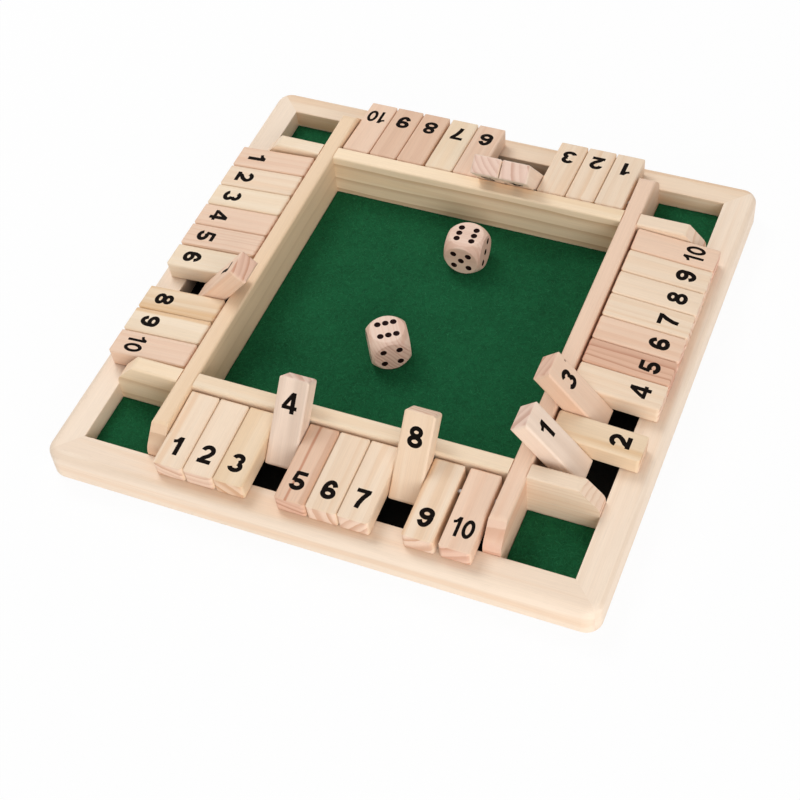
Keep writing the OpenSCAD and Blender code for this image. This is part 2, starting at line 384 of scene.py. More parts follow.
@dataclass(frozen=True)
class WoodFinish:
    """Bare, smoothly sanded wood with a thin clear coat.

    The pith is the trunk's middle, across and up from the board's own middle in millimetres. The
    line is one dark line of grain: its place across, its width and its strength. The knot is the
    place of one small knot along and across the board.
    """

    tone: WoodTone
    ring_mm: float
    contrast: float
    sharp: float = 1.0
    pith: Pair | None = None
    streaks: float = 0.2
    line: Triple | None = None
    knot: Pair | None = None
    gloss: float = 0.35
    bump_mm: float = 0.03

    NO_LINE = (0.0, 0.5, 0.0)
    KNOT_STRENGTH = 0.85
    PITH_REACH_MM = (18, 85)
    RING_SPREAD = (0.8, 1.25)
    SEED_REACH = 900
    END_FACING = (0.55, 0.9)

    def material(self, name: str, grain: GrainFrame, seed: int) -> Material:
        """The finish on one board.

        Args:
            name: Name of the material.
            grain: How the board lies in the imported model.
            seed: Which part of the trunk it was cut from.

        Returns:
            The material.
        """
        dice = random.Random(seed)
        material, graph = new_material(name)
        place = graph.add("ShaderNodeTexCoord").outputs
        facing = graph.vector("DOT_PRODUCT", place["Normal"], grain.along.normalized())
        turn, far = dice.uniform(0, math.tau), dice.uniform(*self.PITH_REACH_MM)
        line_at, line_width, line = self.line or self.NO_LINE
        early, late, streak = self.tone.value
        group = graph.add("ShaderNodeGroup", node_tree=PineGroup.get())
        graph.feed(group, {
            "Vector": graph.add("ShaderNodeMapping", {
                "Vector": place["Object"], "Location": grain.origin,
                "Rotation": grain.rotation()}, vector_type="TEXTURE").outputs[0],
            "End": graph.step(graph.math("ABSOLUTE", facing), *self.END_FACING),
            "Pith": (0.0, *(self.pith or (far * math.cos(turn), far * math.sin(turn)))),
            "Seed": [dice.uniform(-self.SEED_REACH, self.SEED_REACH) for _ in range(3)],
            "Ring": self.ring_mm * dice.uniform(*self.RING_SPREAD),
            "Contrast": self.contrast, "Streaks": self.streaks, "Sharp": self.sharp,
            "Line": line, "Line At": line_at, "Line Width": line_width,
            "Knot": self.KNOT_STRENGTH if self.knot else 0.0,
            "Knot At": (*(self.knot or (0.0, 0.0)), 0.0),
            "Early": early, "Late": late, "Streak": streak,
        })
        graph.surface({
            "Base Color": group.outputs["Color"], "Roughness": group.outputs["Roughness"],
            "Normal": graph.bump(group.outputs["Height"], self.bump_mm),
            "Specular IOR Level": self.gloss})
        return material


# ---------- other finishes ----------


class Finish:
    """A finish that needs no more than the place on the object."""

    def material(self, name: str) -> Material:
        """A new material with this finish."""
        material, graph = new_material(name)
        place = graph.add("ShaderNodeTexCoord").outputs["Object"]
        graph.surface(self.inputs(graph, graph.vector("MULTIPLY", place, TO_MM)))
        return material

    def inputs(self, graph: Graph, point: Socket) -> dict:
        """Inputs of the material's shader.

        Args:
            graph: The material's graph.
            point: The place on the object, in millimetres.

        Returns:
            Socket name, with a constant or the socket that feeds it.
        """
        raise NotImplementedError


@dataclass(frozen=True)
class FeltFinish(Finish):
    """Short wool felt: matted fibres, slow mottling and a soft sheen."""

    deep: Colour
    light: Colour
    sheen: float = 0.25

    BEND, BEND_MM = Pattern(0.25, 3), (9, 9, 9)
    MAT, MAT_SHARE = Pattern(1.1, 4, 0.65), 0.7
    CLOUD, CLOUD_SHARE = Pattern(0.06, 3), 0.2
    TUFT, TUFT_SHARE = Pattern(0.45), 0.3
    FUZZ, FUZZ_SHARE = Pattern(5.0, 3), 0.6
    LIGHT_STEP = (0.35, 0.85)
    RELIEF_MM = 0.25

    def inputs(self, graph: Graph, point: Socket) -> dict:
        """Inputs of the material's shader."""
        bend = graph.vector("MULTIPLY", graph.noise(point, self.BEND, "Color"), self.BEND_MM)
        bent = graph.vector("ADD", point, bend)
        mat = graph.noise(bent, self.MAT)
        amount = graph.total((mat, self.MAT_SHARE),
                             (graph.noise(point, self.CLOUD), self.CLOUD_SHARE),
                             (graph.noise(bent, self.TUFT), self.TUFT_SHARE))
        fuzz = graph.total((mat, 1.0), (graph.noise(point, self.FUZZ), self.FUZZ_SHARE))
        return {
            "Base Color": graph.mix(graph.step(amount, *self.LIGHT_STEP), self.deep, self.light),
            "Roughness": graph.math("MULTIPLY_ADD", mat, 0.12, 0.86),
            "Normal": graph.bump(fuzz, self.RELIEF_MM),
            "Specular IOR Level": 0.15,
            "Sheen Weight": self.sheen, "Sheen Roughness": 0.6, "Sheen Tint": self.light}


@dataclass(frozen=True)
class NapFinish(Finish):
    """Loose fibres that stand on felt."""

    colour: Colour

    SHADE, SHADE_RANGE = Pattern(0.8, 1), (0.9, 0.55)

    def inputs(self, graph: Graph, point: Socket) -> dict:
        """Inputs of the material's shader."""
        shade = graph.math("MULTIPLY_ADD", graph.noise(point, self.SHADE), *self.SHADE_RANGE)
        return {"Base Color": graph.shaded(self.colour, shade), "Roughness": 0.9,
                "Specular IOR Level": 0.1}


@dataclass(frozen=True)
class SteelFinish(Finish):
    """Drawn steel rod with fine lines along it."""

    colour: Colour = (0.58, 0.57, 0.56)

    LINES, LINE_DARK = Pattern((0.4, 0.4, 9.0), 3, 0.7), 0.75
    RELIEF_MM, RELIEF = 0.01, 0.6

    def inputs(self, graph: Graph, point: Socket) -> dict:
        """Inputs of the material's shader."""
        lines = graph.noise(point, self.LINES)
        dark = [self.LINE_DARK * part for part in self.colour]
        return {"Base Color": graph.mix(lines, dark, self.colour),
                "Roughness": graph.math("MULTIPLY_ADD", lines, 0.2, 0.2),
                "Normal": graph.bump(lines, self.RELIEF_MM, self.RELIEF), "Metallic": 1.0}


@dataclass(frozen=True)
class InkFinish(Finish):
    """Matt dark print or paint that has sunk a little into the wood."""

    colour: Colour = srgb(13, 8, 6)
    rough: float = 0.7

    SPECK, SPECK_STEP = Pattern(4.5, 3, 0.6), (0.35, 0.8)
    THIN = (2.2, 0.001)
    RELIEF_MM, RELIEF = 0.02, 0.8

    def inputs(self, graph: Graph, point: Socket) -> dict:
        """Inputs of the material's shader."""
        speck = graph.noise(point, self.SPECK)
        thin = [self.THIN[0] * part + self.THIN[1] for part in self.colour]
        return {
            "Base Color": graph.mix(graph.step(speck, *self.SPECK_STEP), self.colour, thin),
            "Roughness": graph.math("MULTIPLY_ADD", speck, 0.2, self.rough - 0.1),
            "Normal": graph.bump(speck, self.RELIEF_MM, self.RELIEF),
            "Specular IOR Level": 0.04}


# ---------- mesh help ----------


def dress(node: str, material: Material) -> None:
    """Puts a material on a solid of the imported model."""
    slots = FRAME["nodes"][node].data.materials
    slots.clear()
    slots.append(material)


def reach_along(node: str, origin: Vector, axis: Vector) -> Pair:
    """Lowest and highest place of a solid along an axis through a point."""
    mesh = FRAME["nodes"][node].data
    flat = np.empty(len(mesh.vertices) * 3, np.float64)
    mesh.vertices.foreach_get("co", flat)
    spread = (flat.reshape(-1, 3) - np.array(origin)) @ np.array(axis)
    return float(spread.min()), float(spread.max())


def in_scene(name: str, data) -> Object:
    """A new object in the scene."""
    item = bpy.data.objects.new(name, data)
    bpy.context.scene.collection.objects.link(item)
    return item


def mesh_from(build: BMesh, name: str, smooth: bool = False) -> Mesh:
    """The mesh of a finished build, which is freed."""
    mesh = bpy.data.meshes.new(name)
    build.to_mesh(mesh)
    build.free()
    if smooth:
        mesh.shade_smooth()
    return mesh


def flat_square(name: str, low: Pair, high: Pair,
                z: float) -> Mesh:
    """One level face between two corners in plan."""
    (x0, y0), (x1, y1) = low, high
    mesh = bpy.data.meshes.new(name)
    mesh.from_pydata([(x0, y0, z), (x1, y0, z), (x1, y1, z), (x0, y1, z)], [], [(0, 1, 2, 3)])
    return mesh


def band(build: BMesh, first: list, second: list, closed: bool = True) -> None:
    """Joins two lines of vertices by a strip of faces.

    Args:
        build: The mesh being built.
        first: One line of vertices.
        second: The other line.
        closed: Whether the strip runs back to its start.
    """
    count = len(first)
    for k in range(count if closed else count - 1):
        n = (k + 1) % count
        build.faces.new((first[k], second[k], second[n], first[n]))


def add_piece(name: str, mesh: Mesh, body: str,
              material: Material | None = None) -> Object:
    """Adds a piece of the scene that rides on a body.

    Args:
        name: Name of the piece.
        mesh: Its mesh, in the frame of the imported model.
        body: The body that it moves with.
        material: Its material, if the mesh has none.

    Returns:
        The new object.
    """
    piece = in_scene(name, mesh)
    if material is not None:
        mesh.materials.clear()
        mesh.materials.append(material)
    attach(piece, body)
    LOG.info("%s rides on %s: %d faces", name, body, len(mesh.polygons))
    return piece


# ---------- tiles ----------


@dataclass(frozen=True)
class Stroke:
    """One stroke of a digit: a stretch of an ellipse, or a line through points.

    Sizes are shares of the digit's height, from the middle of its foot.
    """

    centre: Pair = (0.0, 0.0)
    radii: Pair = (0.0, 0.0)
    turn: Pair = (0.0, 0.0)
    points: tuple[Pair, ...] = ()
    width: float = 0.225

    STEP_DEG = 9.0

    @property
    def closed(self) -> bool:
        """Whether the stroke is a full ring."""
        return not self.points and abs(self.turn[1] - self.turn[0]) >= 360

    def path(self) -> np.ndarray:
        """Points along the middle of the stroke."""
        if self.points:
            return np.array(self.points)
        start, end = (math.radians(a) for a in self.turn)
        count = max(2, round(abs(self.turn[1] - self.turn[0]) / self.STEP_DEG))
        angles = np.linspace(start, end, count, endpoint=False) if self.closed else \
            np.linspace(start, end, count + 1)
        return np.stack((self.centre[0] + self.radii[0] * np.cos(angles),
                         self.centre[1] + self.radii[1] * np.sin(angles)), axis=1)

    def edges(self, weight: float = 1.0) -> tuple[np.ndarray, np.ndarray]:
        """The two edges of the stroke, its corners mitred; the weight scales its width."""
        path = self.path()
        ahead = np.roll(path, -1, axis=0) - path
        if not self.closed:
            ahead[-1] = ahead[-2]
        ahead /= np.linalg.norm(ahead, axis=1)[:, None]
        behind = np.roll(ahead, 1, axis=0)
        if not self.closed:
            behind[0] = ahead[0]
        side = ahead + behind
        side /= np.linalg.norm(side, axis=1)[:, None]
        reach = self.width * weight / 2 / np.einsum("ij,ij->i", side, ahead)
        normal = np.stack((-side[:, 1], side[:, 0]), axis=1) * reach[:, None]
        return path + normal, path - normal


class Digit(Enum):
    """Strokes of the bold, plain digits."""

    ZERO = (Stroke((0, 0.5), (0.24, 0.385), (0, 360)),)
    ONE = (Stroke(points=((0.07, 0.0), (0.07, 1.0))),
           Stroke(points=((-0.27, 0.70), (-0.10, 0.755), (0.04, 0.96)), width=0.17))
    TWO = (Stroke((0.0, 0.665), (0.235, 0.222), (176, -30)),
           Stroke(points=((0.205, 0.56), (0.11, 0.43), (-0.08, 0.28), (-0.18, 0.11))),
           Stroke(points=((-0.33, 0.108), (0.34, 0.108)), width=0.215))
    THREE = (Stroke((-0.01, 0.705), (0.212, 0.185), (168, -75)),
             Stroke((-0.01, 0.30), (0.245, 0.19), (78, -170)))
    FOUR = (Stroke(points=((0.14, 0.0), (0.14, 1.0)), width=0.215),
            Stroke(points=((0.09, 0.92), (-0.27, 0.34)), width=0.18),
            Stroke(points=((-0.38, 0.275), (0.36, 0.275)), width=0.18))
    FIVE = (Stroke(points=((-0.21, 0.90), (0.32, 0.90)), width=0.20),
            Stroke(points=((-0.16, 0.95), (-0.215, 0.45)), width=0.18),
            Stroke((0.0, 0.315), (0.245, 0.205), (138, -170)))
    SIX = (Stroke((0.0, 0.305), (0.24, 0.195), (0, 360)),
           Stroke((0.0, 0.5), (0.24, 0.388), (205, 26)))
    SEVEN = (Stroke(points=((-0.33, 0.90), (0.34, 0.90)), width=0.205),
             Stroke(points=((0.25, 0.89), (0.07, 0.57), (-0.03, 0.27), (-0.06, 0.0))))
    EIGHT = (Stroke((0.0, 0.725), (0.21, 0.175), (0, 360), width=0.205),
             Stroke((0.0, 0.295), (0.25, 0.19), (0, 360), width=0.21))
    NINE = (Stroke((0.0, 0.695), (0.24, 0.195), (0, 360)),
            Stroke((0.0, 0.5), (0.24, 0.388), (25, -154)))


@dataclass(frozen=True)
class Numeral:
    """A bold printed number, as a thin layer of ink."""

    value: int
    height: float = 8.3 * MM
    pair_squeeze: float = 0.80
    pair_step: float = 0.335
    pair_weight: float = 0.86
    ink: float = 0.010 * MM
    lap: float = 0.001 * MM

    def mesh(self) -> Mesh:
        """The number, flat in XY about its own middle, its underside at z = 0."""
        digits = [list(Digit)[int(letter)] for letter in str(self.value)]
        squeeze, weight = (self.pair_squeeze, self.pair_weight) if len(digits) > 1 else (1.0, 1.0)
        build = bmesh.new()
        layer = 0
        for place, digit in enumerate(digits):
            shift = (place - (len(digits) - 1) / 2) * self.pair_step * 2 * squeeze
            for stroke in digit.value:
                layer += 1
                edges = [[((x * squeeze + shift) * self.height, (y - 0.5) * self.height)
                          for x, y in edge] for edge in stroke.edges(weight)]
                self.lay(build, edges, self.ink + layer * self.lap, stroke.closed)
        return mesh_from(build, "numeral")

    @staticmethod
    def lay(build: BMesh, edges: list, top: float, closed: bool) -> None:
        """Adds one stroke as a strip of ink.

        Args:
            build: The mesh being built.
            edges: The points of its left and right edges.
            top: Height of the ink's upper face.
            closed: Whether the stroke is a full ring.
        """
        left_low, left_high, right_low, right_high = (
            [build.verts.new((x, y, z)) for x, y in edge] for edge in edges for z in (0.0, top))
        ring = (left_high, right_high, right_low, left_low)
        for first, second in zip(ring, ring[1:] + ring[:1]):
            band(build, first, second, closed)
        if not closed:
            build.faces.new([line[0] for line in reversed(ring)])
            build.faces.new([line[-1] for line in ring])


@dataclass
class Tile:
    """One flip tile: where it turns, how it lies and what is printed on it."""

    row: str
    number: int
    slope: float = math.radians(4.2)
    print_from_tip: float = 9.6 * MM
    print_lift: float = 0.004 * MM
    name: str = field(init=False)
    joint: dict = field(init=False)

    def __post_init__(self) -> None:
        """Finds the tile's joint."""
        self.name = f"{self.row}_tile_{self.number}"
        self.joint = next(j for j in FRAME["joints"] if j["child"] == self.name)

    @property
    def hinge(self) -> Vector:
        """The tile's place on its rod."""
        return Vector(self.joint["pos_m"])

    def axes(self) -> tuple[Vector, Vector, Vector]:
        """The tile's own directions at rest, where some tiles stand raised.

        Returns:
            To the reader's right, along the tile to its finger end, and out of its upper face.
        """
        right = -Vector(self.joint["axis"])
        raised = math.radians(max(0.0, -self.joint["range_deg"][0]))
        angle = raised - self.slope
        along = right.cross(UP) * math.cos(angle) + UP * math.sin(angle)
        return right, along, along.cross(right)

    def print_numbers(self, ink: Material) -> None:
        """Prints the number on the upper face and on the face that shows when it is raised."""
        right, along, face = self.axes()
        tip = reach_along(self.name, self.hinge, along)[1] - self.print_from_tip
        under, over = reach_along(self.name, self.hinge, face)
        build = bmesh.new()
        for normal, height, up in ((face, over, -along), (-face, -under, along)):
            layer = Numeral(self.number).mesh()
            place = Matrix((right, up, normal)).transposed().to_4x4()
            place.translation = self.hinge + along * tip + normal * (height + self.print_lift)
            layer.transform(place)
            build.from_mesh(layer)
            bpy.data.meshes.remove(layer)
        add_piece(f"{self.name}_number", mesh_from(build, f"{self.name}_print"), self.name,
                  ink)

    def finish_wood(self, finish: WoodFinish, seed: int) -> None:
        """Gives the tile its wood, with the grain along it."""
        grain = GrainFrame(self.hinge, *self.axes()[1:])
        dress(self.name, finish.material(f"{self.name}_pine", grain, seed))


@dataclass
class TileSet:
    """The four rows of tiles, cut from boards of different tones."""

    seed: int = 41
    ring_mm: float = 3.3
    contrast: Pair = (0.18, 0.42)
    streaks: Pair = (0.1, 0.35)

    # the tone of each tile's board, from 1 to 10
    TONES = {
        "front": "CREAM CREAM STRAW PALE TAN CREAM CREAM CREAM CREAM PEACH",
        "right": "PALE STRAW PEACH CREAM ROSE PEACH CREAM CREAM CREAM PEACH",
        "back": "CREAM CREAM CREAM PALE PALE PEACH IVORY TAN TAN PEACH",
        "left": "PEACH CREAM IVORY PEACH PEACH IVORY PEACH STRAW IVORY PEACH",
    }
    # boards that stand out
    MARKED = {
        ("front", 1): {"line": (-3.4, 1.8, 0.5)},
        ("front", 4): {"streaks": 0.6},
        ("front", 5): {"line": (-1.4, 0.8, 0.95), "contrast": 0.8},
        ("front", 9): {"line": (-5.2, 1.7, 0.75)},
        ("right", 2): {"streaks": 0.5},
        ("right", 5): {"ring_mm": 1.9, "contrast": 0.9, "sharp": 2.0},
        ("right", 3): {"knot": (21.5, 5.0)},
        ("back", 2): {"ring_mm": 2.0, "contrast": 0.7, "sharp": 2.0},
        ("left", 5): {"ring_mm": 1.4, "contrast": 0.75, "sharp": 2.5},
        ("left", 6): {"knot": (-4.5, -1.5)},
        ("left", 8): {"contrast": 0.8, "streaks": 0.6},
        ("left", 9): {"line": (-5.0, 1.5, 0.8)},
    }

    def build(self) -> None:
        """Finishes and prints every tile."""
        choice = random.Random(self.seed)
        ink = InkFinish().material("printing_ink")
        for row, tones in self.TONES.items():
            for number, tone in enumerate(tones.split(), 1):
                tile = Tile(row, number)
                board = {"ring_mm": self.ring_mm, "contrast": choice.uniform(*self.contrast),
                         "streaks": choice.uniform(*self.streaks),
                         **self.MARKED.get((row, number), {})}
                tile.finish_wood(WoodFinish(WoodTone[tone], **board), choice.randrange(SEEDS))
                tile.print_numbers(ink)


# ---------- tray ----------


def grain_of(node: str) -> GrainFrame:
    """How a level board was cut: its grain along its longer side, and across if it is square."""
    low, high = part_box(node)
    deep = high.y - low.y > (high.x - low.x) * SQUARE_WITHIN
    return GrainFrame((low + high) / 2, ALONG_Y if deep else ALONG_X)


@dataclass
class Tray:
    """The wooden tray: frame, rails, end walls and base board."""

    seed: int = 7
    plywood_seed: int = 5
    boards: dict[str, WoodFinish] = field(default_factory=lambda: {
        "frame_front": WoodFinish(WoodTone.BONE, 5.0, 0.4, streaks=0.5),
        "frame_right": WoodFinish(WoodTone.BONE, 4.4, 0.35),
        "frame_back": WoodFinish(WoodTone.CREAM, 4.0, 0.5, streaks=0.45),
        "frame_left": WoodFinish(WoodTone.BONE, 4.6, 0.35),
        "rail_left": WoodFinish(WoodTone.FLAXEN, 9.5, 0.4, 4.0, (-6.0, -84.0)),
        "rail_right": WoodFinish(WoodTone.PEACH, 6.0, 0.4, 3.0, (-9.0, -70.0), 0.4),
        "rail_front": WoodFinish(WoodTone.IVORY, 6.4, 0.6, 4.0, (4.0, -75.0)),
        "rail_back": WoodFinish(WoodTone.HONEY, 9.6, 0.9, 3.5, (5.0, -78.0), 0.35),
        "end_wall_left_front": WoodFinish(WoodTone.HONEY, 9.0, 0.6, 3.5, (-4.0, -50.0)),
        "end_wall_left_back": WoodFinish(WoodTone.IVORY, 3.4, 0.5, 2.0, (4.0, -50.0)),
        "end_wall_right_front": WoodFinish(WoodTone.CREAM, 2.4, 0.5, 2.0, (-4.0, -60.0)),
        "end_wall_right_back": WoodFinish(WoodTone.CREAM, 3.0, 0.5, 2.0, (6.0, -44.0)),
    })

    def build(self) -> None:
        """Finishes each board with its grain along it."""
        choice = random.Random(self.seed)
        for node, board in self.boards.items():
            dress(node, board.material(f"{node}_pine", grain_of(node), choice.randrange(SEEDS)))
            LOG.info("%s is finished as %s pine", node, board.tone.name.lower())
        plywood = WoodFinish(WoodTone.PLY, ring_mm=9.0, contrast=0.8, streaks=0.4, gloss=0.2,
                             bump_mm=0.05)
        dress("base_board", plywood.material("base_plywood", grain_of("base_board"),
                                             self.plywood_seed))


# ---------- felt ----------


def solids_of(node: str) -> list[tuple[Vector, Vector]]:
    """Low and high corners of each separate solid of a node, in the order of their bearing."""
    build = bmesh.new()
    build.from_mesh(FRAME["nodes"][node].data)
    bmesh.ops.remove_doubles(build, verts=build.verts, dist=0.001 * MM)
    left = set(build.verts)
    boxes = []
    while left:
        island, edge = set(), [left.pop()]
        while edge:
            vertex = edge.pop()
            island.add(vertex)
            fresh = {link.other_vert(vertex) for link in vertex.link_edges} & left
            left -= fresh
            edge.extend(fresh)
        places = [vertex.co for vertex in island]
        boxes.append((Vector(map(min, zip(*places))), Vector(map(max, zip(*places)))))
    build.free()
    return sorted(boxes, key=lambda box: math.atan2(*(box[0] + box[1]).yx))


@dataclass
class FeltSheet:
    """One sheet of felt, cut to size and laid: softly uneven on top, its cut edges rounded."""

    name: str
    low: Vector
    high: Vector
    cell: float = 1.6 * MM
    edge: float = 0.35 * MM
    swell: float = 0.09 * MM
    fray: float = 0.10 * MM

    # lines of the grid near a cut edge, as shares of its rounding
    RIM = (0.0, 0.08, 0.3, 1.0)
    SOFT_WAVE, SOFT_SHARE = 7 * MM, 0.35
    LINT_WAVE, LINT_SHARE = 1.9 * MM, 0.15
    FRAY_WAVE, FRAY_LEVEL = 2.6 * MM, 3

    def places(self, low: float, high: float) -> list[float]:
        """Places of the grid's lines along one side, closer together near the cut edges."""
        rim = [share * self.edge for share in self.RIM]
        inner = low + rim[-1], high - rim[-1]
        count = max(4, round((inner[1] - inner[0]) / self.cell))
        between = [inner[0] + (inner[1] - inner[0]) * k / count for k in range(1, count)]
        return [low + r for r in rim] + between + [high - r for r in reversed(rim)]

    def top(self, x: float, y: float) -> Vector:
        """The upper face's point over a place in plan."""
        def wave(length: float, level: float = 0) -> float:
            """Smooth noise between 0 and 2."""
            return 1 + noise.noise(Vector((x, y, level)) / length)
        inward = min(x - self.low.x, self.high.x - x, y - self.low.y, self.high.y - y)
        part = max(0.0, 1 - inward / self.edge)
        drop = self.edge * (1 - math.sqrt(max(0.0, 1 - part * part)))
        drop += self.swell * (self.SOFT_SHARE * wave(self.SOFT_WAVE)
                              + self.LINT_SHARE * wave(self.LINT_WAVE))
        centre = (self.low + self.high) / 2
        pull = self.fray * part * wave(self.FRAY_WAVE, self.FRAY_LEVEL) / 2
        return Vector((x + math.copysign(pull, centre.x - x),
                       y + math.copysign(pull, centre.y - y), self.high.z - drop))

    def build(self, material: Material, slot: str, node: str, nap: tuple[Object, ...] = ()) -> None:
        """Makes the sheet in the space of its solid.

        Args:
            material: The felt.
            slot: The record's material slot. It is not used.
            node: The solid's node, which the sheet stands for.
            nap: Loose fibres that stand on it. It is not used.
        """
        xs, ys = self.places(self.low.x, self.high.x), self.places(self.low.y, self.high.y)
        build = bmesh.new()
        rows = [[build.verts.new(self.top(x, y)) for x in xs] for y in ys]
        for row, after in zip(rows, rows[1:]):
            for i in range(len(xs) - 1):
                build.faces.new((row[i], row[i + 1], after[i + 1], after[i]))
        rim = rows[0] + [row[-1] for row in rows[1:]] + rows[-1][-2::-1] + \
            [row[0] for row in rows[-2:0:-1]]
        feet = [build.verts.new((v.co.x, v.co.y, self.low.z)) for v in rim]
        band(build, rim, feet)
        build.faces.new(feet[::-1])
        sheet = add_piece(self.name, mesh_from(build, self.name, smooth=True), "box",
                          material)
        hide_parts(node)


@dataclass
class NapPatch:
    """A patch of loose fibres that stand on one sheet of felt, grown by Geometry Nodes."""

    name: str
    low: Vector
    high: Vector
    density: float
    seed: int
    fibre_length: float = 1.7 * MM
    fibre_width: float = 0.07 * MM
    inset: float = 0.6 * MM

    # a fibre's segments, its rise and bow as shares of its length, and its width at the tips
    SEGMENTS, RISE, BOW, TIP = 4, 0.10, 0.16, 0.35
    SIDE_TILT = 0.6

    def fibre(self) -> Object:
        """One fibre: a thin arched ribbon along X that lies on XY."""
        build = bmesh.new()
        pairs = []
        for step in range(self.SEGMENTS + 1):
            t = step / self.SEGMENTS
            arch = math.sin(math.pi * t)
            half = self.fibre_width / 2 * (self.TIP + (1 - self.TIP) * arch)
            x, y, z = (share * self.fibre_length
                       for share in (t - 0.5, self.BOW * arch, self.RISE * arch))
            pairs.append([build.verts.new((x, y + side * half, z)) for side in (-1, 1)])
        for last, pair in zip(pairs, pairs[1:]):
            band(build, last, pair, closed=False)
        name = f"{self.name}_fibre"
        return bpy.data.objects.new(name, mesh_from(build, name))

    def tree(self, fibre: Object, material: Material) -> NodeTree:
        """The tree that scatters the fibres.

        Args:
            fibre: The fibre to repeat.
            material: The fibres' material.

        Returns:
            The Geometry Nodes tree, with its sizes as named inputs.
        """
        tree = bpy.data.node_groups.new(f"{self.name}_tree", "GeometryNodeTree")
        add_sockets(tree, {
            "Geometry": ("Geometry",), "Density": ("Float", self.density),
            "Tilt": ("Float", 0.5), "Smallest": ("Float", 0.5), "Largest": ("Float", 1.5),
        }, {"Geometry": "Geometry"})
        graph = Graph(tree)
        given = graph.add("NodeGroupInput").outputs
        points = graph.add("GeometryNodeDistributePointsOnFaces", {
            "Mesh": given["Geometry"], "Density": given["Density"], "Seed": self.seed})
        turns = [graph.add("ShaderNodeCombineXYZ", {
            0: graph.math("MULTIPLY", given["Tilt"], way),
            1: graph.math("MULTIPLY", given["Tilt"], way * self.SIDE_TILT),
            2: spin}).outputs[0] for way, spin in ((-1.0, 0.0), (1.0, math.tau))]
        turn = graph.add("FunctionNodeRandomValue", {
            0: turns[0], 1: turns[1], "Seed": self.seed + 1}, data_type="FLOAT_VECTOR")
        size = graph.add("FunctionNodeRandomValue", {
            2: given["Smallest"], 3: given["Largest"], "Seed": self.seed + 2})
        source = graph.add("GeometryNodeObjectInfo", {"Object": fibre})
        scattered = graph.add("GeometryNodeInstanceOnPoints", {
            "Points": points.outputs["Points"], "Instance": source.outputs["Geometry"],
            "Rotation": turn.outputs[0], "Scale": size.outputs[1]})
        real = graph.add("GeometryNodeRealizeInstances", {0: scattered.outputs[0]})
        dressed = graph.add("GeometryNodeSetMaterial", {
            0: real.outputs[0], "Material": material})
        graph.add("NodeGroupOutput", {0: dressed.outputs[0]})
        return tree

    def grow(self, material: Material) -> Object:
        """Grows the patch.

        Args:
            material: The fibres' material.

        Returns:
            The finished piece.
        """
        (x0, y0), (x1, y1) = ((corner.x + step, corner.y + step) for corner, step in (
            (self.low, self.inset), (self.high, -self.inset)))
        source = in_scene(f"{self.name}_source", flat_square(
            f"{self.name}_ground", (x0, y0), (x1, y1), self.high.z))
        fibre = self.fibre()
        source.modifiers.new("nap", "NODES").node_group = self.tree(fibre, material)
        bpy.context.view_layer.update()
        evaluated = source.evaluated_get(bpy.context.evaluated_depsgraph_get())
        mesh = bpy.data.meshes.new_from_object(evaluated)
        source.modifiers.clear()
        bpy.data.objects.remove(source)
        bpy.data.objects.remove(fibre)
        return add_piece(self.name, mesh, "box")


@dataclass
class Felts:
    """Green felt of the play area and pockets, and the black lining of the trays."""

    green: FeltFinish = FeltFinish(srgb(7, 64, 35), srgb(25, 101, 61))
    black: FeltFinish = FeltFinish(srgb(8, 8, 7), srgb(22, 22, 19), sheen=0.1)
    nap: NapFinish = NapFinish(srgb(46, 122, 80))
    nap_per_mm2: float = 0.7
    nap_seed: int = 11

    def build(self) -> None:
        """Lays the sheets and raises the nap of the green ones."""
        green, black = self.green.material("green_felt"), self.black.material("black_felt")
        fibres = self.nap.material("green_nap")
        density = self.nap_per_mm2 / MM ** 2
        places = [("play_felt", "play", 0)] + [
            ("pocket_felts", f"pocket_{k + 1}", k) for k in range(4)]
        for place, (node, name, index) in enumerate(places):
            low, high = solids_of(node)[index]
            nap = NapPatch(f"{name}_nap", low, high, density, self.nap_seed + place).grow(
                fibres)
            FeltSheet(f"{name}_felt_sheet", low, high).build(green, "green_felt", node, (nap,))
        for index, (low, high) in enumerate(solids_of("tray_liners")):
            FeltSheet(f"tray_{index + 1}_liner", low, high).build(
                black, "black_felt", "tray_liners")


# ---------- dice ----------


